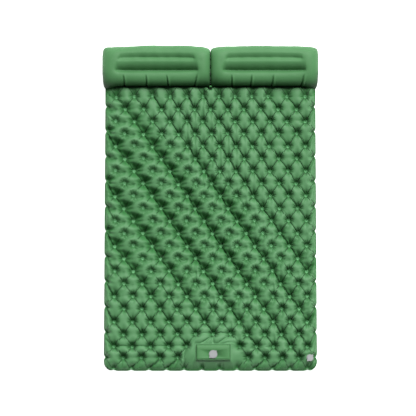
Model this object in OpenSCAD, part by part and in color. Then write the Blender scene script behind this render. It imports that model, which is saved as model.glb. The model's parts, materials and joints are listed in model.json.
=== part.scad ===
// Two-person inflatable sleeping pad with two pillows, a foot pump and an air valve.
// Millimetres. +Y points to the head end, +X to the sleeper's left when lying on the back
// with the head at +Y, and +Z up. The origin is on the floor, under the middle of the pad.

/* [Mattress] */
// Length of the whole pad, pillows included
pad_length = 2000; // [1900:10:2100]
// Width of the mattress over its side seams
mat_width = 1300; // [1240:10:1400]
// Height of the inflated mattress
mat_height = 92; // [88:1:110]
// Radius of the mattress corners, seen from above
mat_corner = 57; // [50:1:70]
// Height of the welded side seam above the floor
seam_height = 46; // [42:1:50]
// Width of the welded seam lip outside the air chamber
seam_lip = 6; // [4:1:8]
// Thickness that the coated fabric is drawn at
fabric = 1.2; // [1:0.1:1.6]

/* [Pillows] */
// Width of one pillow over its seams
pillow_width = 655; // [610:5:680]
// Depth of a pillow, front to back
pillow_depth = 255; // [240:5:280]
// Height of an inflated pillow
pillow_height = 150; // [140:1:160]
// Radius of the pillow corners, seen from above
pillow_corner = 22; // [18:1:30]
// Gap between the two pillows
pillow_gap = 2; // [1:0.5:6]
// Length of the front tension strip in a pillow
front_baffle_length = 490; // [440:5:500]
// Length of the rear tension strip in a pillow
rear_baffle_length = 450; // [400:5:500]
// Distance between the two tension strips
baffle_spacing = 68; // [60:1:80]

/* [Foot pump] */
// Sideways place of the pump, from the middle of the pad
pump_x = 16; // [-60:1:60]
// Distance from the foot end to the middle of the pump
pump_inset = 108; // [106:1:140]
// Distance of the intake from the middle of the pump, towards the foot end
intake_offset = 12; // [0:1:13]
// Width of the pump's pocket
pump_width = 212; // [200:1:230]
// Depth of the pump's pocket, front to back
pump_depth = 100; // [94:1:110]
// Height of the foot panel above the mattress
pump_rise = 20; // [16:1:26]
// Travel of the foot panel when it is trodden down
pump_travel = 35; // [25:1:38]
// Radius of the intake cap
pump_cap_radius = 23; // [21:0.5:25]

/* [Air valve] */
// Distance from the side seam to the air valve
valve_side_inset = 46; // [44:1:50]
// Distance from the foot end to the air valve
valve_foot_inset = 77; // [75:1:100]
// Radius of the fabric patch that the valve is welded into
patch_radius = 25; // [24:0.5:26]
// Radius of the air valve's cap
valve_cap_radius = 20; // [18:0.5:21]
// Direction of the cap hinges, anticlockwise from +X
hinge_angle = 45; // [0:5:90]

/* [Hidden] */
$fn = 64;

green = [0.31, 0.56, 0.34];
dark_green = [0.22, 0.42, 0.25];
foam_yellow = [0.86, 0.83, 0.72];
valve_grey = [0.60, 0.61, 0.61];
silicone = [0.85, 0.87, 0.88];

// Space left between pieces that only touch
gap = 0.1;
// A length that carries a cut clear through what it cuts
through = 5;
// Thickness of one outline in a stack that is hulled
slice = 0.2;

// Mattress outline: each level is [inset at the sides, inset at the ends, height].
shoulder_inset = 22;
crown_inset = 80;
shoulder_z = mat_height - 20;
mat_levels_up = [
    [seam_lip, seam_lip, seam_height],
    [8, 8, seam_height + 14],
    [shoulder_inset, 18, shoulder_z],
    [crown_inset, 48, mat_height]
];
mat_levels_down = [
    [seam_lip, seam_lip, seam_height],
    [12, 12, 20],
    [30, 26, 4],
    [60, 48, 0]
];
head_join_gap = 1;
mat_length = pad_length - pillow_depth - head_join_gap;
mat_y = (mat_length - pad_length) / 2;
mat_rear = mat_y + mat_length / 2;

// Pillow outline
pillow_levels_up = [
    [seam_lip, seam_lip, seam_height],
    [9, 9, pillow_height * 0.6],
    [22, 22, pillow_height * 0.82],
    [42, 42, pillow_height * 0.94],
    [70, 70, pillow_height]
];
pillow_levels_down = [
    [seam_lip, seam_lip, seam_height],
    [16, 16, 16],
    [40, 40, 2],
    [60, 60, 0]
];
pillow_x = (pillow_width + pillow_gap) / 2;
pillow_y = (pad_length - pillow_depth) / 2;
pillow_front = pillow_y - pillow_depth / 2;
baffle_middle = 12;
duct_radius = 7;
duct_length = 46;
duct_z = seam_height + 15;
tape_width = 11;
tie_width = 18;
tie_reach = 20;

// Foot pump
pump_y = pump_inset - pad_length / 2;
pocket_floor = 18;
pocket_corner = 8;
pocket_flange = 5;
gusset_gap = 1;
panel_margin = 6;
panel_z = mat_height + pump_rise;
panel_thickness = 1.5;
panel_width = pump_width - 2 * panel_margin;
panel_depth = pump_depth - 2 * panel_margin;
foam_margin = 8;
foam_bore = 24;

// Flap valves: the web that the flap closes, and the flap's stem and knob
web_thickness = 1.5;
web_hole = 2.6;
stem_radius = 1.4;
stem_hole = 1.7;
knob_radius = 2.4;
knob_height = 1.2;
flap_thickness = 0.8;
flap_travel = 2;

// Pump intake, with heights counted from the top of the foot panel
inlet_top = panel_z + panel_thickness;
inlet_bore = 15.5;
inlet_wall = 2.5;
inlet_flange = 26;
inlet_below = 9;
inlet_above = 4.1;
inlet_hinge_radius = 28;

// Pump outlet, under the pocket's floor
outlet_radius = 18;
outlet_hole = 14;
outlet_flap = 12.5;

// Air valve, in its own tilted frame with its origin on the fabric
valve_x = mat_width / 2 - valve_side_inset;
valve_y = valve_foot_inset - pad_length / 2;
valve_tilt = atan((mat_height - shoulder_z) / (crown_inset - shoulder_inset));
valve_z = shoulder_z + (valve_side_inset - shoulder_inset) * tan(valve_tilt);
base_bore = 14.5;
base_wall = 2.5;
base_flange = 22;
base_below = 8;
base_above = 5;
plug_clearance = 0.2;
plug_wall = 2.8;
plug_below = 5.5;
lip_thickness = 1.5;
valve_hinge_radius = 24;
inlet_boss_depth = 4;
plug_boss_depth = 1.8;

// Hinge bead and cap details
bead_radius = 1;
bead_width = 9;
cap_thickness = 2.4;
cap_gap = 0.3;
boss_clearance = 0.6;
boss_wall = 1.8;
tab_width = 12;

// ---- Shared shapes ----

// Corner-rounded rectangle as a list of points
function rounded_outline(w, l, r, steps = 6) = [
    for (corner = [0:3]) for (i = [0:steps])
        let (a = 90 * corner + 90 * i / steps,
             sx = (corner == 0 || corner == 3) ? 1 : -1,
             sy = corner < 2 ? 1 : -1)
        [sx * (w / 2 - r) + r * cos(a), sy * (l / 2 - r) + r * sin(a)]
];

module plate(w, l, r, h) {
    linear_extrude(h) polygon(rounded_outline(w, l, r));
}

module disc(r, z0, z1) {
    translate([0, 0, z0]) cylinder(r = r, h = z1 - z0);
}

module ring(r_out, r_in, z0, z1) {
    difference() {
        disc(r_out, z0, z1);
        disc(r_in, z0 - 1, z1 + 1);
    }
}

// Bulged half of a cushion through a stack of rounded outlines. cut moves every outline
// inwards and towards the seam, and gives the inside of a skin of that thickness.
module bulge(w, l, r, levels, cut = 0) {
    up = levels[1][2] > levels[0][2] ? 1 : -1;
    hull() for (i = [0:len(levels) - 1]) {
        ix = levels[i][0] + cut;
        iy = levels[i][1] + cut;
        rr = max(r - max(ix, iy), 3);
        // The seam's outline is the first one, and the others lie within the skin's height
        z = levels[i][2] - up * (i == 0 ? cut / 2 : cut);
        rises = (i == 0) == (up > 0);
        for (sx = [-1, 1], sy = [-1, 1])
            translate([sx * (w / 2 - ix - rr), sy * (l / 2 - iy - rr), rises ? z : z - slice])
                cylinder(r = rr, h = slice, $fn = 32);
    }
}

// Half skin with its seam lip, rising or falling from the seam
module half_skin(w, l, r, levels) {
    up = levels[1][2] > levels[0][2];
    difference() {
        union() {
            bulge(w, l, r, levels);
            translate([0, 0, up ? seam_height : seam_height - fabric]) plate(w, l, r, fabric);
        }
        bulge(w, l, r, levels, fabric);
    }
}

// ---- Mattress ----

module in_mat() {
    translate([0, mat_y, 0]) children();
}

module at_pump() {
    translate([pump_x, pump_y, 0]) children();
}

module at_intake() {
    translate([pump_x, pump_y - intake_offset, 0]) children();
}

module at_air_valve() {
    translate([valve_x, valve_y, valve_z]) rotate([0, valve_tilt, 0]) children();
}

// Straight tube along Y through the head seam
module duct_path(side, r, length) {
    translate([side * pillow_x, mat_rear + head_join_gap / 2, duct_z])
        rotate([90, 0, 0])
            translate([0, 0, -length / 2]) cylinder(r = r, h = length);
}

module mat_top_sheet() {
    color(green) difference() {
        in_mat() half_skin(mat_width, mat_length, mat_corner, mat_levels_up);
        at_pump() translate([0, 0, seam_height + through])
            plate(pump_width + 2 * gap, pump_depth + 2 * gap, pocket_corner, mat_height);
        at_air_valve() disc(patch_radius + gap, -14, 20);
        for (side = [-1, 1]) duct_path(side, duct_radius + gap, duct_length + 2);
    }
}

module mat_bottom_sheet() {
    color(dark_green)
        in_mat() half_skin(mat_width, mat_length, mat_corner, mat_levels_down);
}

// Strip over the lips of the mattress and the pillows, where they are welded together
module head_seam_tape() {
    tape_length = mat_width - 2 * mat_corner;
    color(dark_green)
        translate([-tape_length / 2, mat_rear + head_join_gap / 2 - tape_width / 2,
                   seam_height + fabric])
            cube([tape_length, tape_width, fabric]);
}

// ---- Pillows ----

module in_pillow(side) {
    translate([side * pillow_x, pillow_y, 0]) children();
}

module pillow_top_panel(side) {
    color(green) difference() {
        in_pillow(side) half_skin(pillow_width, pillow_depth, pillow_corner, pillow_levels_up);
        duct_path(side, duct_radius + gap, duct_length + 2);
    }
}

module pillow_bottom_panel(side) {
    color(dark_green)
        in_pillow(side) half_skin(pillow_width, pillow_depth, pillow_corner, pillow_levels_down);
}

// Upright strip that ties the top panel to the bottom one and draws a groove in the pillow
module pillow_baffle(side, length, place) {
    height = pillow_height - 2 * fabric - 2 * gap;
    color(dark_green)
        in_pillow(side)
            translate([-length / 2, baffle_middle + place - fabric / 2, fabric + gap])
                cube([length, fabric, height]);
}

module pillow_duct(side) {
    color(dark_green) difference() {
        duct_path(side, duct_radius, duct_length);
        duct_path(side, duct_radius - fabric, duct_length + 2);
    }
}

// Small tab of fabric in the notch between the inner front corners of the pillows
module pillow_tie_tab() {
    color(green)
        translate([0, mat_rear + tie_reach / 2 - seam_lip + 0.5, seam_height + 2 * fabric + gap])
            plate(tie_width, tie_reach, 8, fabric);
}

// ---- Foot pump ----

module pump_pocket() {
    color(dark_green) at_pump() difference() {
        union() {
            translate([0, 0, pocket_floor])
                plate(pump_width, pump_depth, pocket_corner, mat_height - pocket_floor + fabric);
            translate([0, 0, mat_height])
                plate(pump_width + 2 * pocket_flange, pump_depth + 2 * pocket_flange,
                      pocket_corner + pocket_flange, fabric);
        }
        translate([0, 0, pocket_floor + fabric])
            plate(pump_width - 2 * fabric, pump_depth - 2 * fabric,
                  pocket_corner - fabric, mat_height);
        translate([0, -intake_offset, 0])
            disc(outlet_hole, pocket_floor - through, pocket_floor + through);
    }
}

module pump_foam() {
    color(foam_yellow) at_pump() difference() {
        translate([0, 0, pocket_floor + fabric + gap])
            plate(pump_width - 2 * foam_margin, pump_depth - 2 * foam_margin, pocket_corner,
                  panel_z - pocket_floor - fabric - 2 * gap);
        translate([0, -intake_offset, 0]) disc(foam_bore, pocket_floor, panel_z + through);
    }
}

// Sloping side wall between the pocket's rim and the foot panel
module gusset_wall(cut) {
    z_low = mat_height;
    foot = fabric + gusset_gap + cut;
    hull() {
        translate([0, 0, z_low])
            plate(pump_width - 2 * foot, pump_depth - 2 * foot, pocket_corner - cut, slice);
        translate([0, 0, panel_z - gap - slice])
            plate(panel_width - 2 * cut, panel_depth - 2 * cut, pocket_corner - cut, slice);
    }
}

module pump_side_gusset() {
    color(green) at_pump() difference() {
        gusset_wall(0);
        gusset_wall(fabric);
    }
}

module pump_foot_panel() {
    color(green) at_pump() difference() {
        translate([0, 0, panel_z]) plate(panel_width, panel_depth, pocket_corner, panel_thickness);
        translate([0, -intake_offset, 0])
            disc(inlet_bore + inlet_wall + gap, panel_z - through, panel_z + through);
    }
}

// ---- Valve pieces ----

// Round web with six air holes and a hole for the flap's stem
module valve_web(r, z0) {
    hole_circle = r * 0.56;
    difference() {
        disc(r, z0, z0 + web_thickness);
        disc(stem_hole, z0 - 1, z0 + web_thickness + 1);
        for (i = [0:5]) rotate([0, 0, 60 * i]) translate([hole_circle, 0, 0])
            disc(web_hole, z0 - 1, z0 + web_thickness + 1);
    }
}

// Silicone disc under a web, with a stem through it and a knob that stops its travel
module flap(r, web_z) {
    top = web_z - gap;
    knob_z = web_z + web_thickness + flap_travel + gap;
    color(silicone) {
        disc(r, top - flap_thickness, top);
        disc(stem_radius, top - flap_thickness / 2, knob_z + knob_height / 2);
        disc(knob_radius, knob_z, knob_z + knob_height);
    }
}

// Arm that carries the cap's hinge bead, from a valve's rim out to under the bead
module hinge_arm(r_in, hinge_r, z0, z1) {
    rotate([0, 0, hinge_angle])
        translate([r_in, -bead_width / 2, z0]) cube([hinge_r + 2 - r_in, bead_width, z1 - z0]);
}

// Cap with a plug ring below it, a strap out to its hinge bead, and a pull tab opposite
module cap(r, bore, boss_depth, hinge_r, z0) {
    boss = bore - boss_clearance;
    bead_z = z0 + cap_thickness / 2;
    color(valve_grey) {
        difference() {
            disc(r, z0, z0 + cap_thickness);
            ring(r - 3, r - 5, z0 + cap_thickness - 0.6, z0 + cap_thickness + 1);
        }
        ring(boss, boss - boss_wall, z0 - boss_depth, z0 + cap_thickness / 2);
        rotate([0, 0, hinge_angle]) {
            translate([r - 2, -bead_width / 2, bead_z - 0.5])
                cube([hinge_r - r + 2, bead_width, 1]);
            translate([hinge_r, bead_width / 2, bead_z])
                rotate([90, 0, 0]) cylinder(r = bead_radius, h = bead_width);
        }
        rotate([0, 0, hinge_angle + 180]) {
            translate([r - 3, -tab_width / 2, z0]) cube([5, tab_width, 1.4]);
            translate([r + 2, 0, z0]) cylinder(r = tab_width / 2, h = 1.4);
        }
    }
}

// ---- Foot pump valves ----

inlet_web_z = inlet_top - inlet_below + flap_thickness + flap_travel;

module pump_inlet_seat() {
    neck = inlet_bore + inlet_wall;
    color(valve_grey) at_intake() {
        ring(inlet_flange, inlet_bore, inlet_top, inlet_top + fabric);
        ring(neck, inlet_bore, inlet_top - inlet_below, inlet_top + inlet_above);
        valve_web(inlet_bore + 0.5, inlet_web_z);
        hinge_arm(neck - 0.5, inlet_hinge_radius, inlet_top + fabric - 0.5, inlet_top + inlet_above);
    }
}

module pump_inlet_flap() {
    at_intake() flap(inlet_bore - 1.5, inlet_web_z);
}

module pump_cap() {
    at_intake()
        cap(pump_cap_radius, inlet_bore, inlet_boss_depth, inlet_hinge_radius,
            inlet_top + inlet_above + cap_gap);
}

outlet_web_z = pocket_floor - web_thickness;

module pump_outlet_seat() {
    color(valve_grey) at_intake() valve_web(outlet_radius, outlet_web_z);
}

module pump_outlet_flap() {
    at_intake() flap(outlet_flap, outlet_web_z);
}

// ---- Air valve ----

plug_radius = base_bore - plug_clearance;
plug_bore = plug_radius - plug_wall;
lip_z = base_above + gap;

module air_valve_patch() {
    color(green) at_air_valve() ring(patch_radius, base_bore + base_wall + gap, -fabric, 0);
}

module air_valve_base() {
    neck = base_bore + base_wall;
    color(valve_grey) at_air_valve() {
        ring(base_flange, base_bore, 0, fabric);
        ring(neck, base_bore, -base_below, base_above);
    }
}

module air_valve_plug() {
    color(valve_grey) at_air_valve() {
        ring(plug_radius, plug_bore, -plug_below, lip_z + lip_thickness);
        ring(base_bore + base_wall, plug_bore, lip_z, lip_z + lip_thickness);
        valve_web(plug_bore + 0.5, -plug_below);
        hinge_arm(base_bore + base_wall - 0.5, valve_hinge_radius, lip_z, lip_z + lip_thickness);
    }
}

module air_valve_flap() {
    at_air_valve() flap(plug_bore - 1, -plug_below);
}

module air_valve_cap() {
    at_air_valve()
        cap(valve_cap_radius, plug_bore, plug_boss_depth, valve_hinge_radius,
            lip_z + lip_thickness + cap_gap);
}

mat_top_sheet();
mat_bottom_sheet();
head_seam_tape();
pillow_top_panel(-1);  // left_pillow_top_panel
pillow_bottom_panel(-1);  // left_pillow_bottom_panel
pillow_baffle(-1, front_baffle_length, -baffle_spacing / 2);  // left_pillow_front_baffle
pillow_baffle(-1, rear_baffle_length, baffle_spacing / 2);  // left_pillow_rear_baffle
pillow_duct(-1);  // left_pillow_duct
pillow_top_panel(1);  // right_pillow_top_panel
pillow_bottom_panel(1);  // right_pillow_bottom_panel
pillow_baffle(1, front_baffle_length, -baffle_spacing / 2);  // right_pillow_front_baffle
pillow_baffle(1, rear_baffle_length, baffle_spacing / 2);  // right_pillow_rear_baffle
pillow_duct(1);  // right_pillow_duct
pillow_tie_tab();
pump_pocket();
pump_foam();
pump_side_gusset();
pump_foot_panel();
pump_inlet_seat();
pump_inlet_flap();
pump_cap();
pump_outlet_seat();
pump_outlet_flap();
air_valve_patch();
air_valve_base();
air_valve_plug();
air_valve_flap();
air_valve_cap();
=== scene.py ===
import json
from math import atan2, ceil, cos, hypot, pi, radians, sin

import bpy
import numpy as np
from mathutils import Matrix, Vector

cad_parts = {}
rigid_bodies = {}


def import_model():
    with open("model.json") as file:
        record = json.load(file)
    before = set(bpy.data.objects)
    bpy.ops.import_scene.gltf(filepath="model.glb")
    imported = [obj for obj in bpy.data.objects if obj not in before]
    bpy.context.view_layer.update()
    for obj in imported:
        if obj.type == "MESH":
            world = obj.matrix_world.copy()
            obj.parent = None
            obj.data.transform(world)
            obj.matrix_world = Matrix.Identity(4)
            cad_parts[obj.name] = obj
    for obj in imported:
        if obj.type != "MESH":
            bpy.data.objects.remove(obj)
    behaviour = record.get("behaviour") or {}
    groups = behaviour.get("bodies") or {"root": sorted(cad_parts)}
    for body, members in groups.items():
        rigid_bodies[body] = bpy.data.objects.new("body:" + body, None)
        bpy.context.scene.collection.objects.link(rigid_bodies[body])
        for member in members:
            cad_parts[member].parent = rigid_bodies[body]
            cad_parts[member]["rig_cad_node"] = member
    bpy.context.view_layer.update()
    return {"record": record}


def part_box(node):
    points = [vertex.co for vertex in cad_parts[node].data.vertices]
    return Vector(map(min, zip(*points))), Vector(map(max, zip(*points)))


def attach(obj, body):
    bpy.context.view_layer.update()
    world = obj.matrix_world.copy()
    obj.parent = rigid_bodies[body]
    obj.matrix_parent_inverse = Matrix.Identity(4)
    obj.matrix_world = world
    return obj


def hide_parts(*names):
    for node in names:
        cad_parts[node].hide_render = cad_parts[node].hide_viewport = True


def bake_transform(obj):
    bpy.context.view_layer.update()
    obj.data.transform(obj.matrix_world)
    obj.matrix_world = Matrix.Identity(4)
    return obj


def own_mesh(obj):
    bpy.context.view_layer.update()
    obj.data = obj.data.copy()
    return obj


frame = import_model()
MM = 0.001

# ---- camera

VIEW_ELEVATION = radians(82)
VIEW_DISTANCE = 15.0
SENSOR = 36.0
VIEW_WIDTH = 2.555  # metres across the picture, at the pad
AIM = Vector((-0.015, 0.0, 0.06))


def make_camera():
    back = Vector((0, -cos(VIEW_ELEVATION), sin(VIEW_ELEVATION)))
    data = bpy.data.cameras.new("camera")
    data.sensor_width = SENSOR
    data.lens = SENSOR * VIEW_DISTANCE / VIEW_WIDTH
    data.clip_start, data.clip_end = 0.1, 100
    camera = bpy.data.objects.new("camera", data)
    bpy.context.scene.collection.objects.link(camera)
    camera.location = AIM + back * VIEW_DISTANCE
    camera.rotation_euler = (-back).to_track_quat("-Z", "Y").to_euler()
    bpy.context.scene.camera = camera


make_camera()

# ---- cloth solver

# Springs by the rows and columns they span, with their stiffness
SPRINGS = ((0, 1, 1.0), (1, 0, 1.0), (1, 1, 0.5), (1, -1, 0.5), (0, 2, 0.12), (2, 0, 0.12))
NODE_MASS = 6.0
DAMPING = 0.97


def ends(a, rows, columns):
    """A (3, ny, nx) array at the two ends of every spring of that span."""
    ny, nx = a.shape[1:]
    if columns >= 0:
        return a[:, : ny - rows, : nx - columns], a[:, rows:, columns:]
    return a[:, : ny - rows, -columns:], a[:, rows:, : nx + columns]


def relax(x, rest, held, pressure, steps, slack, limits=()):
    """Relaxes a sheet under pressure, from places x and cut places rest, both (3, ny, nx).

    held nodes stay where they are. slack is a spring's share of stiffness when it is pushed.
    limits are (axis, low, high).
    """
    springs = []
    for rows, columns, k in SPRINGS:
        a, b = ends(rest, rows, columns)
        length = np.sqrt(((b - a) ** 2).sum(0)).astype(np.float32)
        springs.append((rows, columns, np.float32(k), length))
    free = (~held).astype(np.float32)
    v, force = np.zeros_like(x), np.zeros_like(x)
    step, slack = np.float32(1 / NODE_MASS), np.float32(slack)
    for _ in range(steps):
        force[:] = 0
        for rows, columns, k, rest_length in springs:
            a, b = ends(x, rows, columns)
            d = b - a
            length = np.sqrt(np.einsum("cij,cij->ij", d, d))
            stretch = length - rest_length
            stretch = np.where(stretch < 0, stretch * slack, stretch)
            d *= k * stretch / np.maximum(length, 1e-4)
            a, b = ends(force, rows, columns)
            a += d
            b -= d
        # The cross product of the central differences is four times a node's area normal
        du = x[:, 1:-1, 2:] - x[:, 1:-1, :-2]
        dv = x[:, 2:, 1:-1] - x[:, :-2, 1:-1]
        p = np.float32(pressure / 4)
        inner = force[:, 1:-1, 1:-1]
        inner[0] += p * (du[1] * dv[2] - du[2] * dv[1])
        inner[1] += p * (du[2] * dv[0] - du[0] * dv[2])
        inner[2] += p * (du[0] * dv[1] - du[1] * dv[0])
        v = (v + force * step) * np.float32(DAMPING) * free
        x += v
        for axis, low, high in limits:
            np.clip(x[axis], low, high, out=x[axis])
    return x


def eased(t):
    t = np.clip(t, 0, 1)
    return t * t * (3 - 2 * t)


def bell(off, half_width):
    return np.exp(-((off / half_width) ** 2))


def outline(shape):
    """A mask of a grid's outer nodes."""
    mask = np.ones(shape, bool)
    mask[1:-1, 1:-1] = False
    return mask


def resample(x, old, new):
    """A grid x with the lines old = (columns, rows), read at the lines new."""

    def split(a, b):
        i = np.clip(np.searchsorted(a, b, side="right") - 1, 0, len(a) - 2)
        return i, ((b - a[i]) / (a[i + 1] - a[i])).astype(np.float32)

    (j, fj), (i, fi) = split(old[0], new[0]), split(old[1], new[1])
    a = x[:, :, j] * (1 - fj) + x[:, :, j + 1] * fj
    fi = fi[None, :, None]
    return (a[:, i] * (1 - fi) + a[:, i + 1] * fi).astype(np.float32)


# ---- mesh helpers


def link(obj):
    bpy.context.scene.collection.objects.link(obj)
    return obj


def mesh_piece(name, points, faces):
    """A smooth mesh object from points in millimetres."""
    data = bpy.data.meshes.new(name)
    data.from_pydata((np.asarray(points, float) * MM).tolist(), [], [list(map(int, f)) for f in faces])
    data.update()
    data.polygons.foreach_set("use_smooth", [True] * len(data.polygons))
    return link(bpy.data.objects.new(name, data))


def cell_corners(a):
    """A grid's values at the four corners of every cell, anticlockwise."""
    return a[:-1, :-1], a[:-1, 1:], a[1:, 1:], a[1:, :-1]


def drop_unused(points, faces):
    used, renumbered = np.unique(faces, return_inverse=True)
    return points[used], renumbered.reshape(faces.shape)


def perimeter(ny, nx):
    """Indices of a grid's outer points, anticlockwise from the first."""
    index = np.arange(ny * nx).reshape(ny, nx)
    return np.concatenate([index[0, :-1], index[:-1, -1], index[-1, :0:-1], index[:0:-1, 0]])


def loft(name, loops, capped=False):
    """A skin over equal loops: capped, or with the last loop joined to the first."""
    n, count = len(loops[0]), len(loops)
    faces = []
    for i in range(count - 1 if capped else count):
        a, b = i * n, ((i + 1) % count) * n
        faces += [(a + k, a + (k + 1) % n, b + (k + 1) % n, b + k) for k in range(n)]
    if capped:
        faces.append(tuple(range(n))[::-1])
        faces.append(tuple(range((count - 1) * n, count * n)))
    return mesh_piece(name, [p for loop in loops for p in loop], faces)


# ---- sizes from the frame


def box_mm(node):
    low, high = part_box(node)
    return np.array(low) / MM, np.array(high) / MM


MAT_LOW, MAT_HIGH = box_mm("mat_top_sheet")
SEAM_Z = float(MAT_LOW[2])
LIP = 6.0
SEAM_X = float(MAT_HIGH[0]) - LIP
FOOT_Y = float(MAT_LOW[1]) + LIP
HEAD_Y = float(MAT_HIGH[1]) - LIP
MAT_TOP = float(MAT_HIGH[2])
MAT_CORNER, MAT_HEAD_CORNER = 51.0, 6.0

POCKET_LOW, POCKET_HIGH = box_mm("pump_pocket")
PUMP_X, PUMP_Y = ((POCKET_LOW + POCKET_HIGH) / 2)[:2]
FLANGE_W, FLANGE_D = (POCKET_HIGH - POCKET_LOW)[:2]
INTAKE_X, INTAKE_Y = sum(box_mm("pump_inlet_seat"))[:2] / 2

PATCH_LOW, PATCH_HIGH = box_mm("air_valve_patch")
VALVE_TILT = atan2(20, 58)
VALVE_AXIS = np.array([sin(VALVE_TILT), 0, cos(VALVE_TILT)])
PATCH_RADIUS = 25.0
PATCH_THICKNESS = 1.2
VALVE_AT = (PATCH_LOW + PATCH_HIGH) / 2 + VALVE_AXIS * PATCH_THICKNESS / 2

STRIP_GAP = 1.6  # between a tension strip and the panels it ties
# How far the top sheet lies above the pump pocket's flange, and below the middle of the patch
OVER_FLANGE, UNDER_PATCH = 1.8, 1.6

# ---- mattress

COLUMNS = 12
ROWS = 23
ROW_ONE_Y = HEAD_Y - 27
ROW_PITCH = (ROW_ONE_Y - FOOT_Y) / (ROWS - 1)
HALF_COLUMN = SEAM_X / COLUMNS
WELD_RADIUS = 8.0
# Rows of welds that the foot pump takes the place of, with their half columns
PUMP_GAPS = {21: (11, 13), 22: (10, 12, 14)}

# Grid cells per half column and per row, and in front of the head seam, coarse to fine.
# The same count both ways, so that the lines between welds run along the cells' diagonals.
LEVELS = ((4, 3), (7, 5), (13, 9))
STEPS = 400
SLACK_ACROSS, SLACK_ALONG = 1.08, 1.03
PRESSURE = 0.001
PUSHED = 0.25
# Cloth to spare between the last welds and the seam, so that the edges stand up
EDGE_SPARE, FOOT_SPARE, HEAD_SPARE = 22.0, 6.0, 40.0
HEAD_OVERHANG = 19.0

# Pits at the welds: reach, and their depth below the puffs for an even lattice
PIT_REACH, PIT_DEPTH = 38.0, 28.0
RAY_DEPTH = 7.0
CREASE_DEPTH, CREASE_HALF_WIDTH = 3.2, 0.045
PIT_FLOOR_GAP = 2.0
# Slanting trenches along every second line of welds, with widths in half columns
TRENCH_DEPTH, TRENCH_STEEP, TRENCH_GENTLE = 23.0, 0.55, 1.1
TRENCH_SHIFT = 0.3  # half columns to the right of the welds
TRENCH_STEPS = 1.1  # 1 gives a trench's steep side upright steps, 0 a straight line
# Valleys across the blocks between two trenches
VALLEY_DEPTH, VALLEY_TILT, VALLEY_CREASE = 15.0, 0.25, 5.0
WELD_HEIGHT = 62.0
# How far the weld lattice is drawn to the right at each end, together at the head, and down
HEAD_DRIFT, FOOT_DRIFT, HEAD_SPREAD, SAG = 5.0, 18.0, 18.0, 14.0
DEEP_DROP, SHALLOW_RISE = 5.0, 11.0
DEEP_PULL, SHALLOW_PULL = 0.4, 0.1
# How far the seam is drawn in at its welds, and how far that reaches along it and inwards
SIDE_NOTCH, FOOT_NOTCH = (9.0, 11.0, 52.0), (7.0, 13.0, 60.0)
# Folds at the pump, and how far from its middle the ones to the foot seam run
FOLD_DEPTH, FOLD_WIDTH, PUMP_FOLDS = 9.0, 5.0, 60.0
CALM_NUMBERS = 1000  # numbers of the shallow welds start here


def stops(count, cells, pitch):
    """Grid lines over count stretches, closer together at each stretch's ends."""
    s = np.arange(count * cells + 1) / cells
    return pitch * (s - 0.35 / (2 * pi) * np.sin(2 * pi * s))


def mat_lines(cells, ahead):
    gx = -SEAM_X + stops(2 * COLUMNS, cells, HALF_COLUMN)
    gy = FOOT_Y + stops(ROWS - 1, cells, ROW_PITCH)
    rest = ROW_ONE_Y + (HEAD_Y - ROW_ONE_Y) * np.arange(1, ahead + 1) / ahead
    return gx, np.concatenate([gy, rest])


def rounded_grid(gx, gy, foot_radius, head_radius):
    """Grid points with the four corners drawn in to arcs."""
    x, y = np.meshgrid(gx, gy)
    radius = np.where(y > (gy[0] + gy[-1]) / 2, head_radius, foot_radius)
    cx, cy = (gx[0] + gx[-1]) / 2, (gy[0] + gy[-1]) / 2
    hx, hy = (gx[-1] - gx[0]) / 2 - radius, (gy[-1] - gy[0]) / 2 - radius
    u = np.clip((np.abs(x - cx) - hx) / radius, 0, 1)
    v = np.clip((np.abs(y - cy) - hy) / radius, 0, 1)
    corner = (u > 0) & (v > 0)
    x2 = cx + np.sign(x - cx) * (hx + radius * u * np.sqrt(1 - v * v / 2))
    y2 = cy + np.sign(y - cy) * (hy + radius * v * np.sqrt(1 - u * u / 2))
    return np.where(corner, x2, x), np.where(corner, y2, y)


def drift(x, y):
    """How far the weld lattice is drawn sideways by the air beside it."""
    t = (y - HEAD_Y) / (FOOT_Y - HEAD_Y)
    shift = (HEAD_DRIFT + (FOOT_DRIFT - HEAD_DRIFT) * t) * np.cos(pi * x / (2 * SEAM_X))
    return shift - HEAD_SPREAD * (1 - t) * np.sin(pi * x / SEAM_X)


def cut_out(flat_x, flat_y):
    """Where the sheet's nodes were when it was cut: larger than the pad, most at the edges."""
    side = eased((np.abs(flat_x) - SEAM_X + HALF_COLUMN) / HALF_COLUMN)
    foot = eased((FOOT_Y + ROW_PITCH - flat_y) / ROW_PITCH)
    head = eased((flat_y - ROW_ONE_Y) / (HEAD_Y - ROW_ONE_Y))
    x = flat_x * SLACK_ACROSS + np.sign(flat_x) * EDGE_SPARE * side
    y = flat_y * SLACK_ALONG - FOOT_SPARE * foot + HEAD_SPARE * head
    return np.stack([x, y, 0 * flat_x]).astype(np.float32)


def sag(y):
    """How far the lattice is drawn towards the foot, less so near the foot seam."""
    return SAG * eased((y - FOOT_Y - ROW_PITCH / 2) / (2 * ROW_PITCH))


def slanting_band(t, row):
    """1 where welds sit deep and shallow by turns. t runs from -1 to 1 across the pad."""
    start = eased((row - 5 - 6 * t) / 4)
    end = eased((22 + 3 * t - row) / 9)
    return start * end * (1 - 0.5 * eased((t - 0.1) / 0.6))


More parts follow.
